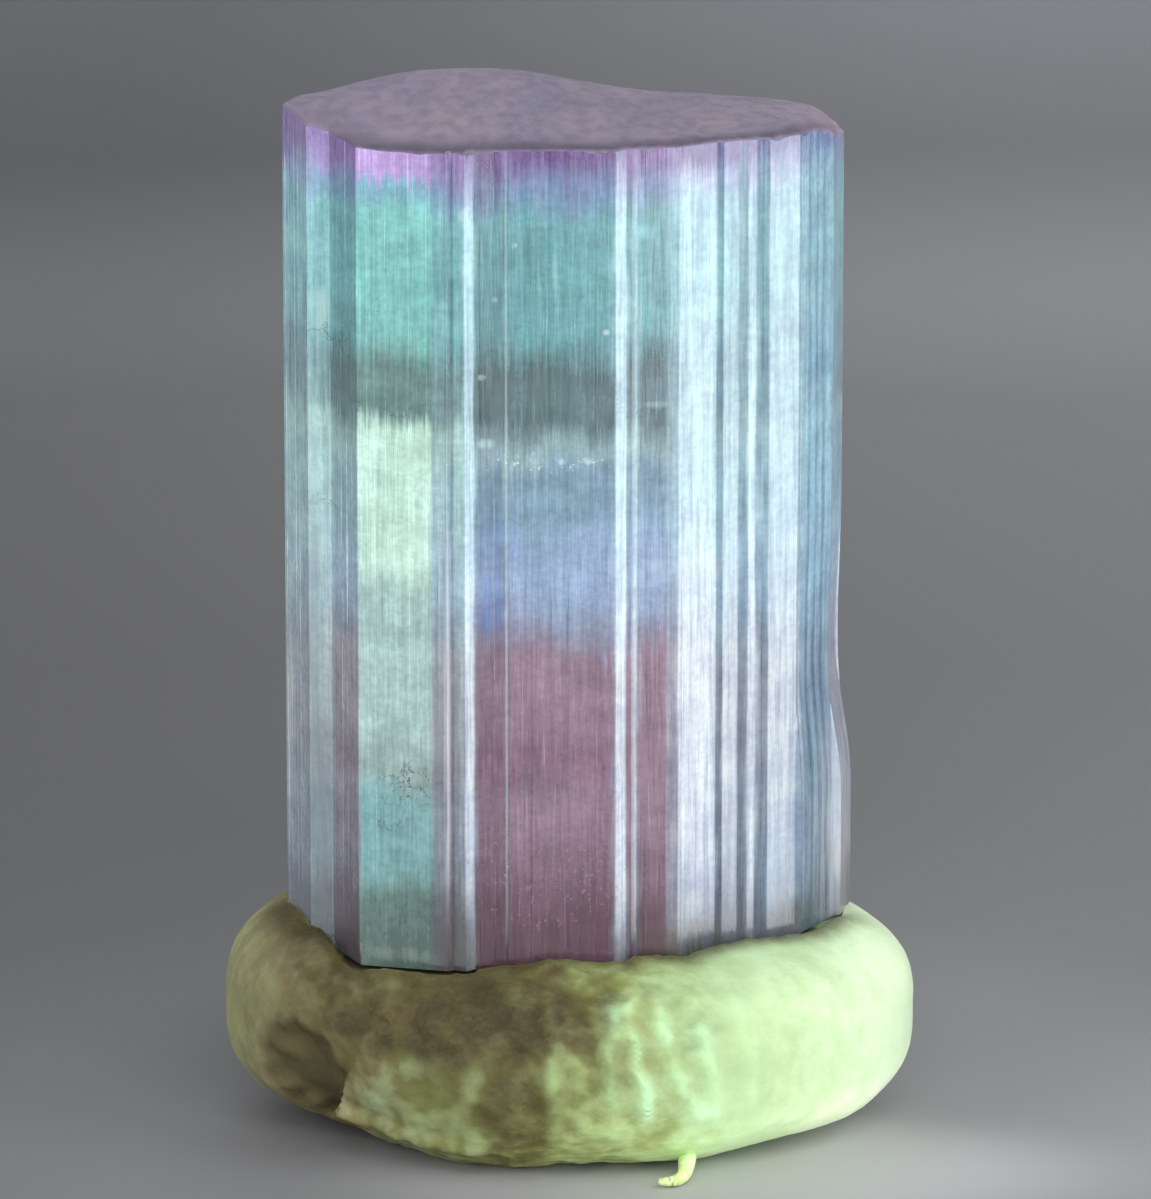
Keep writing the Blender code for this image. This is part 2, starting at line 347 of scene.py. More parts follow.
def rim_chips():
    """The chips along the rim: the place of each round the outline, its reach and its depth."""
    dice = random.Random(STRIATION_SEED + 1)
    round_length = sum(length for _, length, _ in closed_faces())
    chips = []
    for _ in range(RIM_CHIPS):
        reach = dice.uniform(*RIM_CHIP_REACH)
        chips.append((dice.uniform(0, round_length), reach, dice.uniform(*RIM_CHIP_DEPTH)))
    return chips


def chipped(run, chips):
    """How far the rim is chipped down at this place round the outline."""
    return max(depth * max(0.0, 1 - abs(run - place) / reach) for place, reach, depth in chips)


def crystal_rows(lines, chips):
    """Every ring of points of the crystal, from the middle of its foot to near the middle of its end."""
    rows = []
    for share in FOOT_RINGS:
        rows.append([placed(c["p"].x * share, c["p"].y * share, CRYSTAL_BOTTOM) for c in lines])
    count = round((CRYSTAL_TOP - CRYSTAL_BOTTOM) / ROW_MM)
    for i in range(count + 1):
        row = []
        for c in lines:
            p, out = c["p"], c["out"]
            low = foot_face(p.x, p.y)
            high = end_face(p.x, p.y) - RIM_ROUND - chipped(c["run"], chips)
            z = low + (high - low) * i / count
            stand = right_side(c["looks"], z) - c["depth"] * striation_share(c["run"], z)
            row.append(placed(p.x + out.x * stand, p.y + out.y * stand, z))
        rows.append(row)
    for share, drop in END_RINGS:
        row = []
        for c in lines:
            x, y = c["p"].x * share, c["p"].y * share
            swell = noise.noise(Vector((x, y, END_RELIEF_LAYER)) / END_RELIEF_SPACING)
            relief = END_RELIEF * swell * smooth((1 - share) * END_RELIEF_RISE)
            sink = (RIM_ROUND + chipped(c["run"], chips)) * drop
            row.append(placed(x, y, end_face(x, y) + relief - sink))
        rows.append(row)
    return rows


def crystal():
    """The crystal's fine mesh: its prism faces in the first material, its end face in the second."""
    lines = columns()
    rows = crystal_rows(lines, rim_chips())
    wide, tall = len(lines), len(rows)
    body_rows = tall - len(END_RINGS)
    points = [p for row in rows for p in row]
    foot_middle = len(points)
    end_middle = foot_middle + 1
    points.append(placed(0, 0, CRYSTAL_BOTTOM))
    points.append(placed(0, 0, end_face(0, 0)))
    faces = []
    owners = []
    for j in range(tall - 1):
        for i in range(wide):
            k = (i + 1) % wide
            faces.append((j * wide + i, j * wide + k, (j + 1) * wide + k, (j + 1) * wide + i))
            owners.append(0 if j + 1 < body_rows else 1)
    for i in range(wide):
        k = (i + 1) % wide
        faces.append((foot_middle, k, i))
        owners.append(0)
        top = (tall - 1) * wide
        faces.append((top + i, top + k, end_middle))
        owners.append(1)
    mesh = bpy.data.meshes.new("tourmaline")
    mesh.from_pydata(points, [], faces)
    mesh.polygons.foreach_set("material_index", owners)
    paint_looks(mesh, lines, wide, len(points))
    store(mesh, "rim", "FLOAT", "value", rim_nearness(wide, body_rows))
    mesh.shade_smooth()
    sharpen(mesh, body_rows * wide)
    piece = bpy.data.objects.new("tourmaline_prism", mesh)
    bpy.context.scene.collection.objects.link(piece)
    mesh.materials.append(prism_material())
    mesh.materials.append(end_material())
    return piece


def rim_nearness(wide, body_rows):
    """How near each point is to the rim of the end face, for the painted shade along it: 1 up to the
    rim, 0 well inside it.
    """
    rings = [1.0] * body_rows + [between(RIM_SHADE_SHARES, share) for share, _ in END_RINGS]
    return np.append(np.repeat(rings, wide), (1.0, 0.0)).astype(np.float32)


def sharpen(mesh, body_points):
    """Makes the upright edges and the rim sharp, and leaves the end face smooth."""
    mesh.set_sharp_from_angle(angle=math.radians(SHARP_EDGE_DEG))
    sharp = mesh.attributes["sharp_edge"].data
    for edge in mesh.edges:
        if max(edge.vertices) >= body_points:
            sharp[edge.index].value = False


def blended_looks(lines):
    """Each upright line's look, blended a little with the looks beside it."""
    runs = np.array([c["run"] for c in lines])
    looks = np.array([LOOKS[c["look"]] for c in lines])
    widths = np.gradient(runs)
    apart = (runs[:, None] - runs[None, :]) / LOOK_BLEND_MM
    weights = np.exp(-apart * apart) * widths[None, :]
    return runs, weights @ looks / weights.sum(axis=1, keepdims=True)


def paint_looks(mesh, lines, wide, count):
    """Stores each point's look, and its place round the outline, for the materials."""
    runs, looks = blended_looks(lines)
    rows = (count - 2) // wide
    spread = np.zeros((count, 5), np.float32)
    for row in range(rows):
        rise = row * ROW_MM * LOOK_RAGGED_RATE
        shifts = [noise.noise(Vector((run * 1.3, rise, 5.1))) for run in runs]
        at = runs + LOOK_RAGGED_MM * np.array(shifts)
        for part in range(4):
            spread[row * wide : (row + 1) * wide, part] = np.interp(at, runs, looks[:, part])
    spread[: rows * wide, 4] = np.tile(runs, rows)
    store(mesh, "zones", "FLOAT_VECTOR", "vector", spread[:, :3].ravel())
    store(mesh, "tone_and_painted_light", "FLOAT", "value", spread[:, 3].copy())
    store(mesh, "place", "FLOAT", "value", spread[:, 4].copy())


def store(mesh, name, kind, field, values):
    mesh.attributes.new(name, kind, "POINT").data.foreach_set(field, values)


# The putty: its half widths, the height of its belly, how its foot spreads to the front right, and
# how high its crown stands above its belly on four sides.
PUTTY_HALF_X = 9.58
PUTTY_HALF_Y = 8.9
PUTTY_CENTRE = (-0.19, -0.05)
BELLY_Z = 3.2
BELLY_TO_FOOT = 3.62
FOOT_SPREAD = 1.0
FOOT_SPREAD_TO = math.radians(-38)
CROWN_FRONT = 3.15
CROWN_RIGHT = 3.3
CROWN_BACK = 3.4
CROWN_LEFT = 3.95
BOXINESS = 0.72
LUMP_HEIGHT = 0.32
LUMP_SPACING = 4.2
PUTTY_SEED = Vector((3.1, 7.4, 1.9))
PUTTY_SUBDIVISIONS = 7
PUTTY_SHARP_DEG = 50

# The small kneaded lumps and the drawn-out wrinkles of the putty: height and spacing of each. Both
# fade out towards the right and the left, to a share that stays.
KNEAD = (0.12, 0.95)
WRINKLE = (0.05, 0.5)
SMOOTH_RIGHT_X = (5.0, -1.8)
SMOOTH_LEFT_X = (-8.4, -6.2)
SMOOTH_SHARE = 0.15

# The dent at the lower left, torn sharply at its right edge.
DENT_AT = Vector((-7.3, -5.3, 2.1))
DENT_REACH = 1.6
DENT_DEPTH = 0.7
DENT_EDGE_X = (-6.25, -5.95)
# How dark the dent is painted: dirt together with painted shade in the hollow.
DENT_GRIME_AND_SHADE = 0.74
DENT_EDGE_Z = 3.6
DENT_EDGE_SLANT = 0.25

# The pulled ridges on the front: the height and the x of each point of the crest, from the top
# down, and the ridge's height and width.
RIDGES = (
    (((5.4, -2.7), (3.9, -2.5), (2.4, -2.9)), 0.07, 0.30),
    (((5.4, -1.7), (3.9, -1.5), (2.4, -1.7)), 0.06, 0.24),
    (((5.4, -0.75), (3.6, -0.6), (1.6, -0.5)), 0.10, 0.22),
    (((5.4, 0.75), (4.7, 1.0), (3.8, 0.82), (1.6, 1.0)), 0.2, 0.25),
    (((5.4, 1.5), (4.7, 1.45), (3.7, 1.6), (2.6, 1.9)), 0.16, 0.16),
    (((5.4, 2.2), (4.7, 2.25), (3.7, 2.5), (2.9, 2.8), (2.1, 3.3)), 0.2, 0.25),
    (((5.4, 3.15), (4.3, 3.35), (2.6, 3.75)), 0.18, 0.22),
    (((5.4, 4.3), (2.9, 4.75)), 0.1, 0.28),
)
RIDGE_TOP_Z = (5.35, 4.7)
RIDGE_FOOT_Z = (1.2, 2.6)
RIDGE_FADE_Y = (-3.0, -5.5)
RIDGE_RAGGED = 0.08

# The fold along the foot of the front left, from its left end to its right end.
FOLD_FROM = Vector((-6.3, -6.3, 1.5))
FOLD_TO = Vector((-2.6, -7.9, 0.9))
FOLD_WIDTH = 0.32
FOLD_HEIGHT = 0.28
GROOVE_ABOVE = 0.62
GROOVE_DEPTH = 0.16

# The dark smears on the putty, mostly under the front left of the crystal, dirt darkened with painted
# shadow: the middle of each smear, its reach and how dark it is.
GRIME_AND_SHADOW_SMEARS = (
    ((-3.4, -7.4, 4.7), (5.2, 4.2, 2.1), 1.0),
    ((-1.6, -8.6, 2.8), (1.2, 3.0, 2.2), 0.7),
    ((-4.0, -8.2, 0.9), (2.6, 3.0, 0.45), 0.25),
    ((-7.6, -4.6, 3.6), (2.0, 3.0, 1.3), 0.3),
)

# The pale lumps on the olive front, painted pale through the crest highlight: the middle and the reach
# of each.
PALE_LUMPS = (
    ((-5.6, -7.2, 1.9), (1.2, 3.0, 1.1)),
    ((-4.3, -8.0, 1.5), (0.7, 3.0, 0.8)),
    ((-3.1, -8.3, 1.7), (0.6, 3.0, 0.8)),
    ((-0.2, -8.8, 2.0), (0.7, 3.0, 1.3)),
)
PALE_LUMP_RISE = 0.07

# The seat that the crystal is pressed into.
SEAT_GAP = 0.06
SEAT_GROW = 1.006
SEAT_HEIGHT = 3.0

# The lip of the putty under the front of the crystal: its height, how far it reaches in and out from
# the crystal's outline, and where it fades out towards the back.
LIP_Z = 5.36
LIP_INSIDE = (-1.6, -0.9)
LIP_OUTSIDE = (0.42, 0.08)
LIP_BACK_Y = (1.0, -1.5)
LIP_LEFT_X = (-7.2, -6.2)
LIP_NEAR_Z = 4.4
# The dark line where the putty meets the crystal, dirt together with painted shadow: how dark it is, and
# where it fades out and where it is full.
CONTACT_GRIME_AND_SHADOW = 0.9
CONTACT_REACH = (1.2, 0.4)

# The curl of putty at the front foot: the points of its middle line, and its half thickness.
CURL_LINE = (
    (3.05, -5.90, 0.75),
    (3.05, -6.90, 0.42),
    (3.00, -7.70, 0.22),
    (2.88, -8.30, 0.18),
    (2.60, -8.66, 0.18),
    (2.25, -8.62, 0.19),
)
CURL_RADII = (0.30, 0.26, 0.20, 0.17, 0.15, 0.09)


def crown(around):
    """How high the putty stands above its belly, by the direction round it."""
    front = max(0.0, -math.sin(around)) ** 2 * CROWN_FRONT
    back = max(0.0, math.sin(around)) ** 2 * CROWN_BACK
    right = max(0.0, math.cos(around)) ** 2 * CROWN_RIGHT
    left = max(0.0, -math.cos(around)) ** 2 * CROWN_LEFT
    return front + back + right + left


def crest_x(points, z):
    """Where a ridge's crest lies at this height."""
    for (high, x_high), (low, x_low) in zip(points, points[1:]):
        if z >= low:
            return x_low + (x_high - x_low) * smooth((z - low) / (high - low))
    return points[-1][1]


def ridge_height(p):
    """How far the pulled ridges lift the front of the putty at this point."""
    fade = between(RIDGE_FOOT_Z, p.z) * between(RIDGE_TOP_Z, p.z) * between(RIDGE_FADE_Y, p.y)
    if fade == 0.0:
        return 0.0
    ragged = RIDGE_RAGGED * noise.noise(Vector((p.x * 1.1, p.y, p.z * 2.6)))
    uneven = 0.55 + 0.9 * smooth(0.5 + noise.noise(Vector((p.x, p.y, p.z * 1.3)) + PUTTY_SEED))
    total = 0.0
    for points, height, width in RIDGES:
        away = (p.x - crest_x(points, p.z) - ragged) / width
        total += height * uneven * math.exp(-away * away)
    return total * fade


def fold_height(p):
    """The long low fold along the foot of the front left, with a groove above it."""
    span = FOLD_TO - FOLD_FROM
    t = min(1.0, max(0.0, (p - FOLD_FROM).dot(span) / span.length_squared))
    off = p - FOLD_FROM - span * t
    away = off.length / FOLD_WIDTH
    above = (off - Vector((0.0, 0.0, GROOVE_ABOVE))).length / FOLD_WIDTH
    return FOLD_HEIGHT * math.exp(-away * away) - GROOVE_DEPTH * math.exp(-above * above)


def dent_depth(p):
    """The dent at the lower left, cut off sharply at its right edge."""
    ragged = 0.25 * noise.noise(p * 1.6)
    away = (p - DENT_AT).length / DENT_REACH + ragged
    edge = p.x + ragged + DENT_EDGE_SLANT * (DENT_EDGE_Z - p.z)
    return DENT_DEPTH * math.exp(-(max(0.0, away) ** 4)) * (1 - between(DENT_EDGE_X, edge))


def outline_corners(foot):
    """The crystal's outline at this height: a point for each corner, in millimetres."""
    at = Vector(OUTLINE_START)
    corners = []
    for looks, length, _ in closed_faces():
        out = compass(looks)[0] * right_side(looks, foot)
        corners.append(Vector(placed(at.x + out.x, at.y + out.y, foot)).xy / MM)
        at += compass(looks)[1] * length
    return np.array(corners)


def outside(corners, p):
    """How far a point lies outside the outline, less than 0 inside it."""
    ends = np.roll(corners, -1, axis=0)
    along = ends - corners
    to_point = np.array((p.x, p.y)) - corners
    share = np.clip((to_point * along).sum(1) / (along * along).sum(1), 0, 1)
    away = np.linalg.norm(to_point - along * share[:, None], axis=1)
    nearest = int(away.argmin())
    side = along[nearest, 0] * to_point[nearest, 1] - along[nearest, 1] * to_point[nearest, 0]
    return float(away[nearest]) * (-1 if side > 0 else 1)


def lip_share(p, away):
    """1 along the front of the crystal's outline, fading to 0 inside, outside and at the back."""
    sides = between(LIP_INSIDE, away) * between(LIP_OUTSIDE, away)
    return sides * between(LIP_BACK_Y, p.y) * between(LIP_LEFT_X, p.x)


def knead_height(p):
    """The lumps and wrinkles that kneading left, drawn out across the left and down the front."""
    height, spacing = KNEAD
    lumps = noise.fractal(p / spacing + PUTTY_SEED, 0.9, 2.0, 4)
    fine, pitch = WRINKLE
    drawn = Vector((p.x + 0.5 * p.z, p.y, p.z * 0.45)) / pitch
    middle = between(SMOOTH_RIGHT_X, p.x) * between(SMOOTH_LEFT_X, p.x)
    kneaded = SMOOTH_SHARE + (1 - SMOOTH_SHARE) * middle
    return (height * lumps - fine * abs(noise.noise(drawn + PUTTY_SEED)) * 2) * kneaded


def putty_point(n, corners):
    """The putty's surface in the direction of the unit vector n, in millimetres."""
    around = math.atan2(n.y, n.x)
    flat = math.hypot(n.x, n.y)
    reach = flat**BOXINESS
    lift = abs(n.z) ** BOXINESS
    height = crown(around) * lift if n.z > 0 else -BELLY_TO_FOOT * lift
    spread = FOOT_SPREAD * max(0.0, -n.z) * flat * max(0.0, math.cos(around - FOOT_SPREAD_TO))
    p = Vector((
        PUTTY_CENTRE[0] + PUTTY_HALF_X * math.cos(around) * reach + spread * math.cos(FOOT_SPREAD_TO),
        PUTTY_CENTRE[1] + PUTTY_HALF_Y * math.sin(around) * reach + spread * math.sin(FOOT_SPREAD_TO),
        BELLY_Z + height,
    ))
    lump = LUMP_HEIGHT * noise.noise(p / LUMP_SPACING + PUTTY_SEED)
    ridge, dent = ridge_height(p), dent_depth(p)
    knead = knead_height(p) * (1 - 0.9 * dent / DENT_DEPTH)
    p += n * (lump + ridge + knead + fold_height(p) - dent)
    if p.z > LIP_NEAR_Z:
        away = outside(corners, p)
        p.z -= max(0.0, p.z - LIP_Z) * lip_share(p, away)
        near = between(CONTACT_REACH, away) * between(LIP_BACK_Y, p.y)
    else:
        near = 0.0
    p.z = max(0.0, p.z)
    return p, ridge + knead + PALE_LUMP_RISE * paleness(p), max(grime_and_shade_at(p, dent), CONTACT_GRIME_AND_SHADOW * near)


def paleness(p):
    """1 on a pale lump, 0 away from it."""
    share = 0.0
    for middle, reach in PALE_LUMPS:
        away = math.sqrt(sum(((p[i] - middle[i]) / reach[i]) ** 2 for i in range(3)))
        share = max(share, smooth(1.2 - away))
    return share


def grime_and_shade_at(p, dent):
    """How dark the putty is at this point, grime together with painted shade: in the dent, and under the
    front left of the crystal.
    """
    patchy = 0.55 * noise.fractal(p * 0.8, 0.9, 2.0, 4)
    smears = []
    for middle, reach, most in GRIME_AND_SHADOW_SMEARS:
        away = math.dist([(a - b) / c for a, b, c in zip(p, middle, reach)], (0.0, 0.0, 0.0))
        smears.append(most * smooth(1.3 - away + patchy))
    return max(*smears, DENT_GRIME_AND_SHADE * smooth(dent / DENT_DEPTH * 3))


def putty_body():
    """The wad of putty, with its height, and its grime and painted shade, stored for the material."""
    bm = bmesh.new()
    bmesh.ops.create_icosphere(bm, subdivisions=PUTTY_SUBDIVISIONS, radius=1.0)
    raised = bm.verts.layers.float.new("raised")
    grime_and_shade = bm.verts.layers.float.new("grime_and_shade")
    corners = outline_corners(CRYSTAL_BOTTOM)
    for v in bm.verts:
        p, height, grime_and_shade_share = putty_point(v.co.normalized(), corners)
        v.co = p * MM
        v[raised] = height
        v[grime_and_shade] = grime_and_shade_share
    return mesh_object("putty_wad", bm)


def mesh_object(name, bm):
    mesh = bpy.data.meshes.new(name)
    bm.to_mesh(mesh)
    bm.free()
    obj = bpy.data.objects.new(name, mesh)
    bpy.context.scene.collection.objects.link(obj)
    return obj


def curl():
    """The thin curl of putty at the front foot, tapering to its tip."""
    curve = bpy.data.curves.new("curl", "CURVE")
    curve.dimensions = "3D"
    curve.bevel_depth = MM
    curve.bevel_resolution = 4
    curve.resolution_u = 8
    curve.use_fill_caps = True
    spline = curve.splines.new("NURBS")
    spline.points.add(len(CURL_LINE) - 1)
    for point, place, radius in zip(spline.points, CURL_LINE, CURL_RADII):
        point.co = (*(Vector(place) * MM), 1.0)
        point.radius = radius
    spline.use_endpoint_u = True
    spline.order_u = 4
    line = bpy.data.objects.new("curl_line", curve)
    bpy.context.scene.collection.objects.link(line)
    bpy.context.view_layer.update()
    solid = line.evaluated_get(bpy.context.evaluated_depsgraph_get())
    mesh = bpy.data.meshes.new_from_object(solid)
    bpy.data.objects.remove(line)
    bm = bmesh.new()
    bm.from_mesh(mesh)
    bmesh.ops.remove_doubles(bm, verts=bm.verts, dist=1e-6)
    return mesh_object("curl", bm)


def seat():
    """The room that the crystal takes out of the putty."""
    foot = CRYSTAL_BOTTOM - SEAT_GAP
    bm = bmesh.new()
    ring = [bm.verts.new(Vector((x, y, foot)) * MM) for x, y in outline_corners(foot) * SEAT_GROW]
    pulled = bmesh.ops.extrude_face_region(bm, geom=[bm.faces.new(ring)])["geom"]
    for v in (g for g in pulled if isinstance(g, bmesh.types.BMVert)):
        v.co.z += SEAT_HEIGHT * MM
    bmesh.ops.recalc_face_normals(bm, faces=bm.faces)
    return mesh_object("seat", bm)


def combined(obj, other, operation):
    """Applies a Boolean to obj and removes the other object."""
    change = obj.modifiers.new(operation, "BOOLEAN")
    change.operation = operation
    change.object = other
    bpy.context.view_layer.update()
    solid = obj.evaluated_get(bpy.context.evaluated_depsgraph_get())
    mesh = bpy.data.meshes.new_from_object(solid)
    obj.modifiers.remove(change)
    obj.data = mesh
    bpy.data.objects.remove(other)


def putty():
    piece = putty_body()
    combined(piece, curl(), "UNION")
    combined(piece, seat(), "DIFFERENCE")
    piece.data.shade_smooth()
    piece.data.set_sharp_from_angle(angle=math.radians(PUTTY_SHARP_DEG))
    piece.data.materials.clear()
    piece.data.materials.append(putty_material())
    return piece


# Colours, as the linear values that the shaders take.
VIOLET = (0.22, 0.10, 0.34)
LILAC = (0.66, 0.44, 0.86)
DUSK_BLUE = (0.22, 0.32, 0.56)
SKY = (0.32, 0.60, 0.78)
TEAL = (0.18, 0.47, 0.50)
SEA_GREEN = (0.27, 0.65, 0.60)
SMOKE = (0.12, 0.20, 0.22)
GREY_GREEN = (0.18, 0.30, 0.27)
FROST = (0.38, 0.54, 0.58)
STEEL = (0.26, 0.41, 0.54)
LAVENDER = (0.40, 0.54, 0.80)
HEATHER = (0.34, 0.36, 0.52)
COBALT = (0.07, 0.24, 0.82)
ROSE = (0.38, 0.24, 0.33)
MAGENTA = (0.31, 0.16, 0.25)
WINE = (0.20, 0.10, 0.15)
PALE_GREEN = (0.70, 1.00, 0.82)
MINT = (0.50, 0.72, 0.66)
SAGE = (0.36, 0.50, 0.46)
AQUA = (0.27, 0.53, 0.53)
INK_BLUE = (0.14, 0.28, 0.40)
RIVER_BLUE = (0.27, 0.49, 0.66)
ICE_BLUE = (0.34, 0.58, 0.70)
END_PLUM = (0.25, 0.22, 0.33)
END_ROSE = (0.35, 0.265, 0.36)
END_SHADE = (0.125, 0.095, 0.17)
END_FLECK = (0.60, 0.52, 0.62)
# The painted shade along the front rim of the end face.
RIM_SHADE_COLOUR = (0.075, 0.055, 0.105)

# The colour zones up the crystal, from its foot to its end: the height, and the colour there.
ROSY_ZONES = (
    (5.6, WINE),
    (6.8, WINE),
    (9.2, ROSE),
    (10.2, ROSE),
    (11.3, MAGENTA),
    (12.4, ROSE),
    (14.0, ROSE),
    (14.8, HEATHER),
    (15.8, LAVENDER),
    (16.8, LAVENDER),
    (18.0, STEEL),
    (19.1, STEEL),
    (19.7, FROST),
    (20.5, SMOKE),
    (21.9, SMOKE),
    (22.9, TEAL),
    (25.9, TEAL),
    (26.7, DUSK_BLUE),
    (27.6, VIOLET),
)
GREEN_ZONES = (
    (5.6, GREY_GREEN),
    (7.4, GREY_GREEN),
    (8.3, AQUA),
    (10.2, AQUA),
    (10.8, SAGE),
    (12.4, MINT),
    (15.6, MINT),
    (16.6, PALE_GREEN),
    (20.3, PALE_GREEN),
    (20.9, GREY_GREEN),
    (22.0, GREY_GREEN),
    (22.9, SEA_GREEN),
    (26.1, SEA_GREEN),
    (26.8, SKY),
    (27.2, LILAC),
    (27.8, LILAC),
)
BLUE_ZONES = (
    (5.6, INK_BLUE),
    (13.0, INK_BLUE),
    (15.4, RIVER_BLUE),
    (20.0, ICE_BLUE),
    (21.2, RIVER_BLUE),
    (23.0, ICE_BLUE),
    (26.6, ICE_BLUE),
    (27.7, DUSK_BLUE),
)
# The pale zones, by height: painted reflection of the lights on the bright strips that face them, and
# paler colour on the other faces by their share.
PALE_AND_REFLECTION_ZONES = (
    (5.6, (0.38, 0.43, 0.54)),
    (7.0, (0.60, 0.70, 0.88)),
    (10.5, (0.80, 0.88, 0.98)),
    (14.0, (0.84, 0.91, 0.98)),
    (15.8, (0.77, 0.94, 1.0)),
    (18.5, (0.66, 0.90, 0.97)),
    (20.3, (0.70, 0.94, 0.98)),
    (21.5, (0.62, 0.86, 0.92)),
    (24.5, (0.62, 0.94, 0.98)),
    (26.3, (0.62, 0.88, 0.98)),
    (27.0, (0.60, 0.60, 0.84)),
    (27.5, (0.28, 0.22, 0.42)),
)

# The putty's colour from its left to its right, by x in millimetres: its own olive to pale green, with
# painted shade darkening the left, away from the lights.
PUTTY_ACROSS = (
    (-9.7, (0.31, 0.33, 0.17)),
    (-8.6, (0.23, 0.22, 0.12)),
    (-7.6, (0.17, 0.15, 0.08)),
    (-6.3, (0.16, 0.14, 0.065)),
    (-5.4, (0.19, 0.21, 0.10)),
    (-3.5, (0.18, 0.21, 0.09)),
    (-1.8, (0.14, 0.14, 0.05)),
    (-0.6, (0.20, 0.23, 0.085)),
    (0.8, (0.26, 0.32, 0.13)),
    (2.2, (0.31, 0.41, 0.19)),
    (3.6, (0.36, 0.50, 0.26)),
    (5.2, (0.41, 0.56, 0.31)),
    (6.6, (0.49, 0.65, 0.38)),
    (8.6, (0.60, 0.76, 0.50)),
)
# The painted olive shade in the hollows and the painted highlight on the crests.
PUTTY_HOLLOW_SHADE = (0.66, 0.62, 0.42)
PUTTY_CREST_HIGHLIGHT = (1.2, 1.42, 1.7)
# The two browns of the dirt, darkened with painted shadow.
PUTTY_GRIME_IN_SHADE = (0.042, 0.033, 0.010)
PUTTY_EARTH_IN_SHADE = (0.074, 0.057, 0.018)

# The putty is paler low down, a painted light on its underside: the heights where that begins and ends,
# and its rise from left to right.
UNDERSIDE_LIGHT_HEIGHTS = (2.5, 0.2)
UNDERSIDE_LIGHT_RIGHT = (-3.0, 2.0, 0.45, 1.15)

# The floor, as its brightness by the distance from its middle in millimetres, and how far it brightens
# towards the right: painted light and shade, brighter close round the object, darker in a ring beyond,
# and paler far off and towards the lights at the right.
FLOOR_LIGHT_STOPS = tuple(
    (away, (shade, 1.01 * shade, 1.04 * shade))
    for away, shade in (
        (0.0, 0.19), (17.0, 0.19), (26.0, 0.155), (38.0, 0.145),
        (67.0, 0.14), (130.0, 0.165), (190.0, 0.29), (295.0, 0.50), (400.0, 0.60),
    )
)
FLOOR_LIGHT_RIGHT = (-35.0, 35.0, 0.8, 1.45)

# The soft glow on the floor in front of the pale end of the putty.
GLOW_AT = (3.8, -7.0, 0.0)
GLOW_REACH = (15.0, 9.0, 1.0)
GLOW_RISE = 1.7

# The floor's roughness, and its radius in metres.
FLOOR_ROUGHNESS = 0.6
FLOOR_RADIUS = 1.6


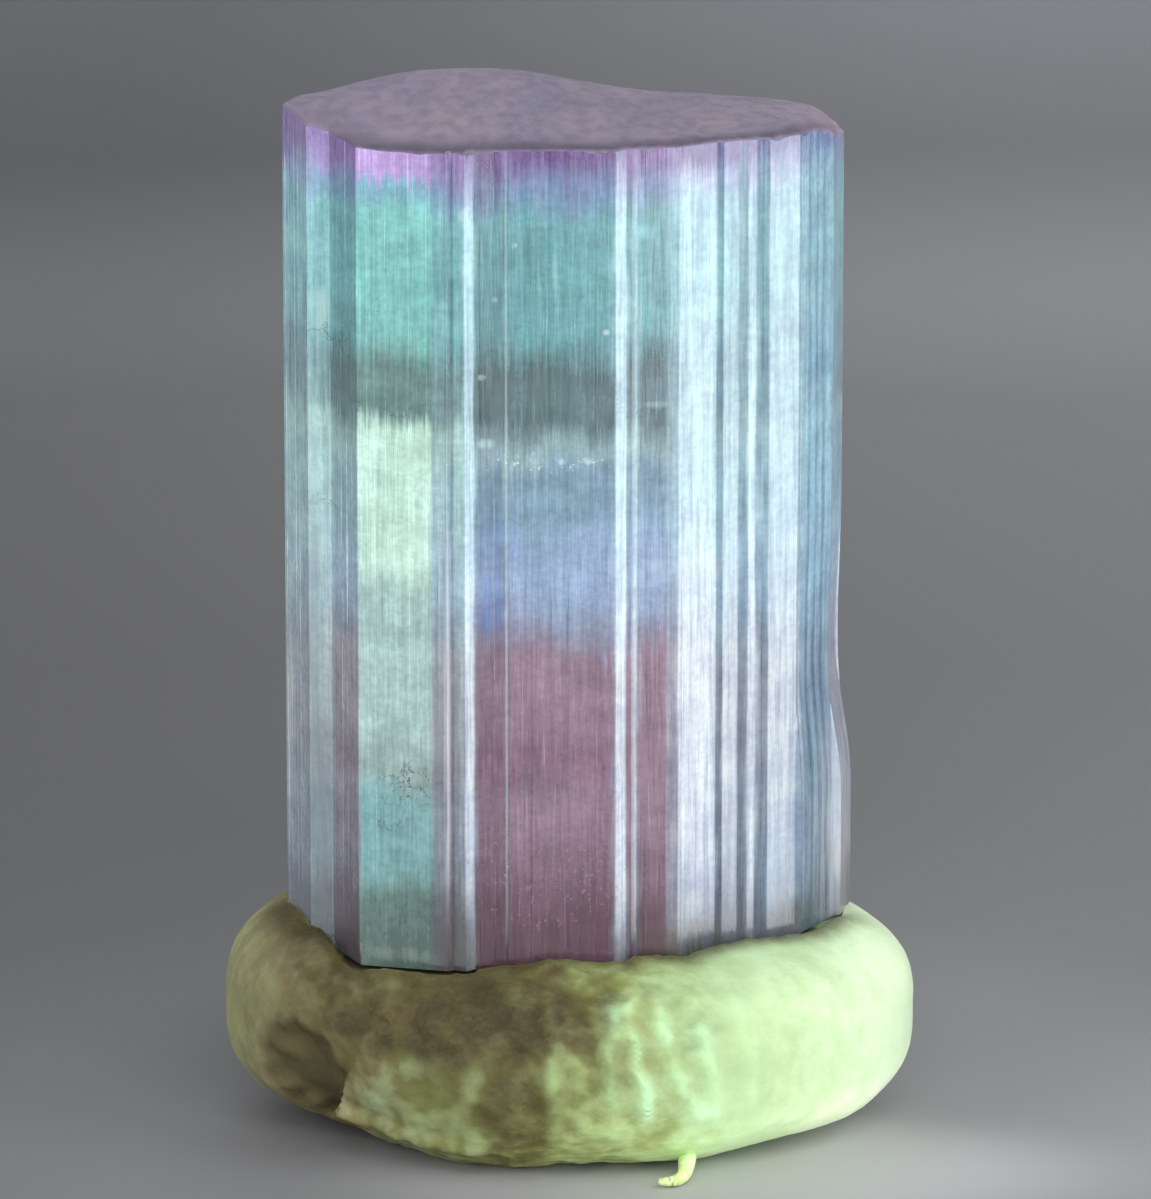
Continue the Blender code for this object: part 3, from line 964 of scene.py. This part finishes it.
class Nodes:
    """A material's nodes, with a short call for each kind that the materials here use."""

    def __init__(self, name):
        self.material = bpy.data.materials.new(name)
        self.material.use_nodes = True
        self.tree = self.material.node_tree
        self.shader = self.tree.nodes["Principled BSDF"]
        self.output = self.tree.nodes["Material Output"]
        metres = self.add("ShaderNodeTexCoord").outputs["Object"]
        self.at = self.move("DIVIDE", metres, (MM, MM, MM))

    def add(self, kind, **settings):
        node = self.tree.nodes.new(kind)
        for name, value in settings.items():
            setattr(node, name, value)
        return node

    def put(self, value, socket):
        """Links a socket, or sets a number or a colour."""
        if isinstance(value, bpy.types.NodeSocket):
            self.tree.links.new(value, socket)
        elif isinstance(value, tuple) and len(socket.default_value) == 4:
            socket.default_value = (*value, 1.0)
        else:
            socket.default_value = value

    def calc(self, operation, *values, clamp=False):
        node = self.add("ShaderNodeMath", operation=operation, use_clamp=clamp)
        for value, socket in zip(values, node.inputs):
            self.put(value, socket)
        return node.outputs[0]

    def move(self, operation, *values):
        node = self.add("ShaderNodeVectorMath", operation=operation)
        for value, socket in zip(values, node.inputs):
            self.put(value, socket)
        return node.outputs[0]

    def mix(self, share, first, second, blend="MIX"):
        node = self.add("ShaderNodeMix", data_type="RGBA", blend_type=blend)
        self.put(share, node.inputs[0])
        self.put(first, node.inputs[6])
        self.put(second, node.inputs[7])
        return node.outputs[2]

    def tinted(self, share, colour, tint):
        """The colour, with this share of it multiplied by the tint."""
        return self.mix(share, colour, self.mix(1.0, colour, tint, "MULTIPLY"))

    def scaled(self, colour, amount):
        """The colour made brighter or darker by a factor."""
        return self.mix(1.0, colour, self.vector(amount, amount, amount), "MULTIPLY")

    def length(self, vector):
        node = self.add("ShaderNodeVectorMath", operation="LENGTH")
        self.put(vector, node.inputs[0])
        return node.outputs["Value"]

    def span(self, value, low, high, to_low=0.0, to_high=1.0):
        """The value's place between low and high, as a number from to_low to to_high."""
        node = self.add("ShaderNodeMapRange", interpolation_type="SMOOTHSTEP")
        for part, socket in zip((value, low, high, to_low, to_high), node.inputs):
            self.put(part, socket)
        return node.outputs[0]

    def attribute(self, name, output="Fac"):
        return self.add("ShaderNodeAttribute", attribute_name=name).outputs[output]

    def parts(self, vector):
        node = self.add("ShaderNodeSeparateXYZ")
        self.put(vector, node.inputs[0])
        return node.outputs

    def vector(self, x, y, z):
        node = self.add("ShaderNodeCombineXYZ")
        for value, socket in zip((x, y, z), node.inputs):
            self.put(value, socket)
        return node.outputs[0]

    def noise(self, at, scale, detail=3.0, roughness=0.55, output="Fac"):
        node = self.add("ShaderNodeTexNoise")
        self.put(at, node.inputs["Vector"])
        self.put(scale, node.inputs["Scale"])
        self.put(detail, node.inputs["Detail"])
        self.put(roughness, node.inputs["Roughness"])
        return node.outputs[output]

    def ramp(self, value, stops):
        """The colour at a value, from a rising list of values and their colours."""
        first, last = stops[0][0], stops[-1][0]
        share = self.calc("DIVIDE", self.calc("SUBTRACT", value, first), last - first)
        node = self.add("ShaderNodeValToRGB")
        self.put(share, node.inputs[0])
        points = node.color_ramp.elements
        points.remove(points[1])
        points[0].position = 0.0
        points[0].color = (*stops[0][1], 1.0)
        for place, colour in stops[1:]:
            points.new((place - first) / (last - first)).color = (*colour, 1.0)
        return node.outputs[0]

    def bump(self, height, distance_mm, strength=1.0, base=None):
        node = self.add("ShaderNodeBump")
        node.inputs["Strength"].default_value = strength
        node.inputs["Distance"].default_value = distance_mm * MM
        self.put(height, node.inputs["Height"])
        if base is not None:
            self.put(base, node.inputs["Normal"])
        return node.outputs[0]

    def set(self, **values):
        """Sets or links the shader's sockets, each named with _ for a space."""
        for name, value in values.items():
            self.put(value, self.shader.inputs[name.replace("_", " ")])


# The light lines and the dark lines drawn over the zones: the most that each covers.
VEIL_SHARE = 0.2
SHADE_SHARE = 0.9
SHADE_TINT = (0.42, 0.52, 0.60)

# The painted sparkle highlights on the front of the crystal: x, height, reach across and up, and
# strength.
SPARKLES = (
    (-3.0, 26.1, 0.2, 0.3, 0.6),
    (-1.63, 25.3, 0.12, 0.12, 0.7),
    (-2.16, 23.85, 0.12, 0.12, 0.7),
    (-0.55, 24.5, 0.12, 0.9, 0.3),
    (0.82, 22.95, 0.14, 0.12, 0.9),
    (-2.5, 21.75, 0.16, 0.13, 0.8),
    (-2.4, 19.95, 0.34, 0.22, 0.8),
    (-0.36, 19.45, 0.14, 0.14, 0.9),
    (0.34, 19.45, 0.14, 0.14, 0.9),
    (2.2, 20.9, 0.6, 0.16, 0.5),
)

# Single marks on the crystal, each with its middle and its reach in millimetres, its colour, and how
# strong it is; some of them are painted reflections, highlights and shade. A crack has its width in
# their place, and a group of flecks has only its colour.
SPARKLE = (0.66, 0.92, 0.94)
OLIVE_SMOKE = (0.24, 0.25, 0.26)
REFLECTION_LINE = (0.80, 0.86, 0.92)
DARK_LINE = (0.16, 0.22, 0.28)
GROWTH_HIGHLIGHT = (0.95, 0.95, 1.0)
FOOT_SHADE_DARK = (0.17, 0.15, 0.14)
FOOT_SHADOW_OLIVE = (0.10, 0.095, 0.055)
FOOT_BLUE = (0.40, 0.66, 0.95)
DEEP_TEAL = (0.10, 0.28, 0.32)
DEEP_BLUE = (0.06, 0.20, 0.34)
COLOUR_SPOTS = (
    ((-2.25, -7.5, 15.6), (0.6, 3.0, 1.5), COBALT, 0.4),
    ((-2.3, -7.5, 15.15), (0.42, 3.0, 0.5), COBALT, 0.55),
    ((-2.0, -7.5, 17.4), (0.9, 3.0, 1.1), COBALT, 0.2),
    ((0.5, -7.5, 14.9), (1.1, 3.0, 0.9), OLIVE_SMOKE, 0.45),
    # A painted reflection of the light along a narrow facet at the left of the front.
    ((-3.47, -7.0, 12.5), (0.14, 3.0, 8.0), REFLECTION_LINE, 0.6),
    ((-3.74, -7.0, 12.0), (0.08, 3.0, 9.0), DARK_LINE, 0.6),
    ((-3.2, -7.0, 12.0), (0.1, 3.0, 9.0), DARK_LINE, 0.35),
    ((1.9, -7.0, 25.6), (0.55, 3.0, 0.35), (0.40, 0.85, 0.95), 0.8),
    # Painted sparkle highlights.
    *(((x, -7.0, z), (across, 3.0, up), SPARKLE, share) for x, z, across, up, share in SPARKLES),
    # A painted reflection, brightening the bright strips at the right of the front halfway up.
    ((3.5, -6.0, 16.2), (1.3, 3.0, 0.7), (0.95, 0.95, 0.97), 0.5),
    ((-4.9, -7.2, 5.9), (1.7, 3.0, 0.35), (0.60, 0.78, 0.76), 0.5),
    ((6.2, -4.0, 8.8), (0.6, 3.0, 4.2), DEEP_BLUE, 0.65),
    ((5.4, -5.0, 7.4), (0.75, 3.0, 2.4), FOOT_BLUE, 0.65),
    # Painted highlight on the later growth at the right, low down.
    ((8.0, -2.0, 7.8), (1.8, 6.0, 6.6), GROWTH_HIGHLIGHT, 1.0),
    # Painted shadow along the crystal's foot at the front right, where it meets the putty, tinted by a
    # painted reflection of the putty.
    ((3.8, -5.6, 5.75), (3.2, 3.0, 1.05), FOOT_SHADOW_OLIVE, 0.85),
    ((6.4, -3.6, 6.1), (1.5, 3.0, 0.9), FOOT_SHADOW_OLIVE, 0.8),
    # Painted highlight on the top of the later growth.
    ((7.6, -2.0, 12.6), (0.75, 5.0, 2.2), GROWTH_HIGHLIGHT, 1.0),
    ((-7.15, -3.4, 13.0), (0.3, 3.0, 9.0), (0.26, 0.33, 0.34), 0.6),
    ((-6.95, -3.6, 8.6), (0.5, 3.0, 5.6), (0.30, 0.30, 0.34), 0.65),
    # Painted shade at the foot of the front left, next to the putty.
    ((-3.2, -7.0, 6.2), (0.8, 3.0, 2.5), FOOT_SHADE_DARK, 0.65),
    ((-2.37, -7.0, 24.6), (0.5, 3.0, 2.0), DEEP_TEAL, 0.45),
    ((4.75, -5.6, 6.6), (0.3, 3.0, 1.8), SMOKE, 0.5),
    ((2.2, -7.0, 16.4), (0.7, 3.0, 0.6), (0.62, 0.78, 0.88), 0.45),
    ((2.2, -7.0, 21.2), (0.6, 3.0, 0.9), (0.26, 0.44, 0.54), 0.4),
    ((2.2, -7.0, 11.0), (0.6, 3.0, 1.6), (0.50, 0.42, 0.50), 0.35),
    ((-6.95, -3.6, 23.2), (0.42, 3.0, 0.9), (0.74, 1.0, 0.93), 0.8),
)
CRACKS = (
    ((-4.9, -7.2, 10.9), (1.3, 3.0, 0.9), 0.05),
    ((-4.6, -7.2, 10.2), (1.5, 3.0, 0.9), 0.06),
    ((-5.1, -7.2, 9.6), (1.0, 3.0, 0.9), 0.05),
    ((-5.0, -7.0, 20.9), (1.9, 3.0, 0.9), 0.06),
    ((-1.9, -7.5, 21.8), (1.6, 3.0, 0.9), 0.06),
    ((1.9, -7.2, 20.7), (1.5, 3.0, 0.9), 0.05),
    ((-6.9, -5.0, 22.6), (1.3, 4.0, 0.9), 0.06),
    ((-6.9, -5.0, 17.9), (1.1, 4.0, 0.9), 0.04),
)
CRACK_DARK = (0.07, 0.10, 0.11)
CRACK_SHARE = 0.6
FLECKS = (
    ((-4.3, -7.2, 10.6), (1.2, 3.0, 0.9), (0.06, 0.07, 0.07)),
    ((-5.6, -7.0, 23.6), (0.8, 3.0, 0.6), (0.10, 0.24, 0.26)),
    ((-0.9, -7.6, 19.4), (3.4, 3.0, 0.5), (0.86, 0.94, 0.92)),
    ((-0.5, -7.5, 21.2), (3.6, 3.0, 0.9), (0.10, 0.14, 0.15)),
    ((3.8, -6.5, 9.0), (0.5, 3.0, 4.5), (0.40, 0.36, 0.42)),
    ((-0.5, -7.5, 8.2), (4.4, 3.0, 4.0), (0.37, 0.27, 0.35)),
)

# The crystal darkens into the putty, a painted shade warmed by a painted reflection of the putty: the
# heights where that ends and begins, and its tint.
FOOT_SHADE = (8.6, 5.2)
FOOT_TINT = (0.60, 0.56, 0.50)

# The patterns that run up the prism: how fine each is across and upward, the layer it is read from,
# and its detail and roughness.
STREAKS = (4.5, 0.22, 0.0, 4.0, 0.6)
FINE_LINES = (18.0, 0.7, 4.0, 3.0, 0.6)
VEILS = (9.0, 0.28, 8.0, 3.0, 0.7)
CLOUDS = (0.7, 1.1, 12.0, 5.0, 0.65)
SWAYS = (0.5, 0.3, 9.0, 2.0, 0.55)

# A spot's distance from its centre, as shares of its reach, where it fades out and where it is full.
SPOT_EDGE = (1.0, 0.25)

TOURMALINE_IOR = 1.63
ABSORPTION_COLOUR = (0.62, 0.80, 0.82)
ABSORPTION_DENSITY = 15.0


def see_through(nodes):
    """The plain absorption that every surface of the crystal closes in."""
    inside = nodes.add("ShaderNodeVolumeAbsorption")
    inside.inputs["Color"].default_value = (*ABSORPTION_COLOUR, 1.0)
    inside.inputs["Density"].default_value = ABSORPTION_DENSITY
    nodes.tree.links.new(inside.outputs[0], nodes.output.inputs["Volume"])


def prism_material():
    """The prism faces: colour zones up the crystal, mixed by face, with painted reflection on the bright
    strips, painted light and shade by face, streaks, cracks and painted sparkle highlights.
    """
    nodes = Nodes("tourmaline prism")
    at = nodes.at
    z = nodes.parts(at)[2]
    place = nodes.attribute("place")
    green, blue, pale = nodes.parts(nodes.attribute("zones", "Vector"))
    patterns = (STREAKS, FINE_LINES, VEILS, CLOUDS, SWAYS)
    streak, fine, veil, cloud, sway = (upright(nodes, place, z, p) for p in patterns)
    grain = nodes.noise(at, 5.5, 4.0, 0.6)

    height = nodes.calc("ADD", z, nodes.span(sway, 0.25, 0.75, -0.3, 0.3))
    height = nodes.calc("ADD", height, nodes.span(veil, 0.3, 0.7, -0.25, 0.25))
    colour = nodes.ramp(height, ROSY_ZONES)
    colour = nodes.mix(green, colour, nodes.ramp(height, GREEN_ZONES))
    colour = nodes.mix(blue, colour, nodes.ramp(height, BLUE_ZONES))

    uneven = nodes.span(streak, 0.3, 0.7, 0.88, 1.14)
    for pattern, least, most in ((fine, 0.9, 1.1), (cloud, 0.82, 1.18), (grain, 0.9, 1.09)):
        uneven = nodes.calc("MULTIPLY", uneven, nodes.span(pattern, 0.3, 0.7, least, most))
    # Each face's brightness is partly its own and partly painted light and shade for the way the face
    # turns to the lights.
    colour = nodes.scaled(colour, nodes.calc("MULTIPLY", uneven, nodes.attribute("tone_and_painted_light")))

    light_lines = nodes.span(veil, 0.56, 0.74, 0.0, VEIL_SHARE)
    streaked = nodes.calc("MULTIPLY", pale, nodes.span(streak, 0.28, 0.6, 0.5, 1.0))
    bluer = nodes.vector(uneven, uneven, nodes.span(uneven, 0.6, 1.2, 0.85, 1.1))
    # The pale zones: painted reflection on the bright strips, and paler colour on the other faces.
    wash = nodes.mix(1.0, nodes.ramp(height, PALE_AND_REFLECTION_ZONES), bluer, "MULTIPLY")
    colour = nodes.mix(nodes.calc("MAXIMUM", light_lines, streaked), colour, wash)

    dark_lines = nodes.span(veil, 0.42, 0.26, 0.0, SHADE_SHARE)
    shade = nodes.calc("MULTIPLY", dark_lines, nodes.span(cloud, 0.3, 0.6))
    colour = nodes.tinted(shade, colour, SHADE_TINT)
    colour = marked(nodes, colour, at, streak)
    colour = nodes.tinted(nodes.span(z, *FOOT_SHADE), colour, FOOT_TINT)

    nodes.set(
        Base_Color=colour,
        Roughness=nodes.span(fine, 0.3, 0.7, 0.08, 0.26),
        IOR=TOURMALINE_IOR,
        Transmission_Weight=0.5,
        Normal=nodes.bump(fine, 0.01, 0.6),
    )
    see_through(nodes)
    return nodes.material


def upright(nodes, place, z, pattern):
    """A pattern that runs up the prism, by the place round the outline and the height."""
    across, upward, layer, detail, roughness = pattern
    run, rise = nodes.calc("MULTIPLY", place, across), nodes.calc("MULTIPLY", z, upward)
    return nodes.noise(nodes.vector(run, layer, rise), 1.0, detail, roughness)


def spot(nodes, at, centre, reach):
    """A soft round mark on the crystal: 1 at its centre, 0 at its edge, in millimetres."""
    away = nodes.move("DIVIDE", nodes.move("SUBTRACT", at, centre), reach)
    return nodes.span(nodes.length(away), *SPOT_EDGE)


def marked(nodes, colour, at, streak):
    """Single marks on the front: colour spots, some of them painted reflections, highlights and shade,
    fine cracks, dark flecks and painted sparkle highlights.
    """
    z = nodes.parts(at)[2]
    for centre, reach, mark, share in COLOUR_SPOTS:
        streaked = nodes.span(streak, 0.35, 0.6, 0.3 * share, share)
        amount = nodes.calc("MULTIPLY", spot(nodes, at, centre, reach), streaked)
        colour = nodes.mix(amount, colour, mark)
    rough = nodes.span(nodes.noise(at, 1.4, 4.0, 0.65), 0.2, 0.8, -0.55, 0.55)
    for centre, reach, width in CRACKS:
        off = nodes.calc("ADD", nodes.calc("SUBTRACT", z, centre[2]), rough)
        line = nodes.span(nodes.calc("ABSOLUTE", off), width, 0.2 * width)
        amount = nodes.calc("MULTIPLY", line, spot(nodes, at, centre, reach))
        colour = nodes.mix(nodes.calc("MULTIPLY", amount, CRACK_SHARE), colour, CRACK_DARK)
    grit = nodes.noise(at, 6.5, 2.0, 0.7)
    for centre, reach, mark in FLECKS:
        amount = nodes.calc("MULTIPLY", nodes.span(grit, 0.60, 0.68), spot(nodes, at, centre, reach))
        colour = nodes.mix(amount, colour, mark)
    return colour


def end_material():
    """The end face: frosted, plum grey, with rosier patches and fine pits, and painted shade towards its
    front and along its front rim.
    """
    nodes = Nodes("tourmaline end face")
    at = nodes.at
    x, y, _ = nodes.parts(at)
    drawn = nodes.move("MULTIPLY", at, (1.0, 0.35, 1.0))
    patch = nodes.noise(drawn, 0.42, 4.0)
    grain = nodes.noise(drawn, 2.6, 5.0, 0.65)
    pits = nodes.noise(drawn, 9.0, 3.0, 0.6)
    colour = nodes.mix(nodes.span(patch, 0.35, 0.65), END_PLUM, END_ROSE)
    colour = nodes.mix(nodes.span(grain, 0.62, 0.35, 0.0, 0.4), colour, END_SHADE)
    colour = nodes.mix(nodes.span(pits, 0.6, 0.74, 0.0, 0.3), colour, END_FLECK)
    # Painted shade: darker towards the front of the end face, and darkest along its rim at the front,
    # less so at the far left.
    colour = nodes.mix(nodes.span(y, -3.4, -6.8, 0.0, 0.6), colour, END_SHADE)
    forward = nodes.span(y, 2.0, -3.0, 0.0, 0.9)
    front = nodes.calc("MULTIPLY", forward, nodes.span(x, -7.0, -5.0, 0.3, 1.0))
    rim = nodes.calc("MULTIPLY", nodes.attribute("rim"), nodes.span(grain, 0.2, 0.6, 1.0, 0.75))
    colour = nodes.mix(nodes.calc("MULTIPLY", rim, front), colour, RIM_SHADE_COLOUR)
    height = nodes.calc("ADD", grain, nodes.calc("MULTIPLY", pits, 0.35))
    nodes.set(
        Base_Color=colour,
        Roughness=nodes.span(grain, 0.3, 0.7, 0.42, 0.62),
        IOR=TOURMALINE_IOR,
        Transmission_Weight=0.25,
        Normal=nodes.bump(height, 0.05, 0.35),
    )
    see_through(nodes)
    return nodes.material


def putty_material():
    """The putty: crests painted pale as highlight, hollows painted olive as shade, its left side painted
    darker as shade, painted light on its underside, and brown grime with painted shadow under the
    crystal and in the dent.
    """
    nodes = Nodes("putty")
    at = nodes.at
    x, y, z = nodes.parts(at)
    raised = nodes.attribute("raised")
    grime_and_shade = nodes.attribute("grime_and_shade")
    mottle = nodes.noise(at, 0.9, 5.0, 0.6)
    grain = nodes.noise(at, 7.0, 4.0, 0.6)
    relief = nodes.calc("ADD", raised, nodes.calc("MULTIPLY", mottle, 0.12))
    leftward = nodes.span(x, 5.5, 1.0, 0.1, 1.0)
    # The colour across the putty, with painted shade darkening its left side.
    patch = nodes.calc("ADD", x, nodes.span(mottle, 0.3, 0.7, -1.0, 1.0))
    colour = nodes.ramp(patch, PUTTY_ACROSS)
    # A painted highlight on the crests and painted shade in the hollows, fading out to the right.
    crest_highlight = nodes.calc("MULTIPLY", nodes.span(relief, 0.06, 0.26), leftward)
    colour = nodes.tinted(crest_highlight, colour, PUTTY_CREST_HIGHLIGHT)
    hollow_shade = nodes.calc("MULTIPLY", nodes.span(relief, 0.09, -0.01), leftward)
    colour = nodes.tinted(hollow_shade, colour, PUTTY_HOLLOW_SHADE)
    # Painted light on the underside, stronger to the right.
    lit = nodes.calc("MULTIPLY", nodes.span(z, *UNDERSIDE_LIGHT_HEIGHTS), nodes.span(x, *UNDERSIDE_LIGHT_RIGHT))
    colour = nodes.scaled(colour, nodes.calc("ADD", lit, 1.0))
    # Dirt together with painted shade and shadow: under the crystal, in the dent and along the contact
    # line.
    grime_and_shade_share = nodes.calc("MULTIPLY", grime_and_shade, nodes.span(grain, 0.25, 0.6, 0.88, 1.0))
    colour = nodes.mix(grime_and_shade_share, colour, nodes.mix(nodes.span(mottle, 0.4, 0.65), PUTTY_GRIME_IN_SHADE, PUTTY_EARTH_IN_SHADE))
    nodes.set(
        Base_Color=colour,
        Roughness=nodes.span(grain, 0.3, 0.7, 0.6, 0.8),
        Specular_IOR_Level=0.3,
        Subsurface_Weight=0.5,
        Subsurface_Scale=0.0012,
        Normal=nodes.bump(nodes.calc("ADD", grain, mottle), 0.05, 0.5),
    )
    nodes.shader.inputs["Subsurface Radius"].default_value = (1.0, 1.0, 0.55)
    return nodes.material


def floor():
    """A plain floor, grey round the object and paler far off, with a soft glow at the front right, all
    of it painted light and shade.
    """
    bm = bmesh.new()
    bmesh.ops.create_circle(bm, cap_ends=True, segments=96, radius=FLOOR_RADIUS)
    piece = mesh_object("floor", bm)
    nodes = Nodes("floor")
    at = nodes.at
    # Painted light and shade on the floor: by the distance from the object, towards the right, and in
    # the glow.
    lit_rightward = nodes.span(nodes.parts(at)[0], *FLOOR_LIGHT_RIGHT)
    glow = nodes.span(spot(nodes, at, GLOW_AT, GLOW_REACH), 0.0, 1.0, 1.0, GLOW_RISE)
    colour = nodes.ramp(nodes.length(at), FLOOR_LIGHT_STOPS)
    colour = nodes.scaled(colour, nodes.calc("MULTIPLY", lit_rightward, glow))
    nodes.set(Base_Color=colour, Roughness=FLOOR_ROUGHNESS)
    piece.data.materials.append(nodes.material)


# The lights: name, place and size in millimetres, power in watts, and the point that each aims at.
LIGHT_AIM = (0.0, 0.0, 14.0)
LIGHTS = (
    ("glint", (28, -5, 23), (26, 46), 0.011, (0, -5, 23)),
    ("key", (120, -70, 90), (100, 100), 0.11, LIGHT_AIM),
    ("low", (120, -290, 28), (200, 52), 0.42, (3.0, 0.0, 4.0)),
    ("fill", (30, -190, 110), (160, 120), 0.34, LIGHT_AIM),
    ("left", (-150, -90, 70), (120, 120), 0.16, LIGHT_AIM),
    ("back", (-20, 150, 110), (160, 100), 0.1, LIGHT_AIM),
)
STUDIO_GREY = (0.24, 0.245, 0.26, 1.0)


def area_light(name, at, size, power, aim):
    """A soft rectangular light that the camera doesn't see, in millimetres and watts."""
    data = bpy.data.lights.new(name, "AREA")
    data.shape = "RECTANGLE"
    data.size, data.size_y = (side * MM for side in size)
    data.energy = power
    light = bpy.data.objects.new(name, data)
    light.location = Vector(at) * MM
    light.rotation_euler = (Vector(aim) * MM - light.location).to_track_quat("-Z", "Y").to_euler()
    light.visible_camera = False
    bpy.context.scene.collection.objects.link(light)
    return light


def lights():
    """The softboxes and the studio round them: one only glints, and the back one never does."""
    made = {row[0]: area_light(*row) for row in LIGHTS}
    made["glint"].visible_diffuse = False
    made["back"].visible_glossy = False
    world = bpy.data.worlds.new("studio")
    world.use_nodes = True
    world.node_tree.nodes["Background"].inputs["Color"].default_value = STUDIO_GREY
    world.node_tree.nodes["Background"].inputs["Strength"].default_value = 1.0
    bpy.context.scene.world = world


# The camera: how far it looks down, how far off it stands, the height it aims at, and its lens.
CAMERA_DOWN_DEG = 10.5
CAMERA_AWAY = 200.0
CAMERA_AIM_Z = 14.55
CAMERA_LENS = 216.2
CAMERA_SENSOR = 36.0


def camera():
    data = bpy.data.cameras.new("camera")
    data.lens = CAMERA_LENS
    data.sensor_width = CAMERA_SENSOR
    data.clip_start = 0.01
    data.clip_end = 10.0
    eye = bpy.data.objects.new("camera", data)
    down = math.radians(CAMERA_DOWN_DEG)
    back, up = CAMERA_AWAY * math.cos(down), CAMERA_AWAY * math.sin(down)
    eye.location = Vector((0, -back, CAMERA_AIM_Z + up)) * MM
    eye.rotation_euler = (math.radians(90) - down, 0, 0)
    bpy.context.scene.collection.objects.link(eye)
    bpy.context.scene.camera = eye


def main():
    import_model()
    bpy.context.scene.view_settings.view_transform = "Standard"
    for piece, node, slot in (
        (crystal(), "tourmaline_crystal", "tourmaline"),
        (putty(), "putty_base", "putty"),
    ):
        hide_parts(node)
        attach(piece, "root")
    floor()
    lights()
    camera()


main()
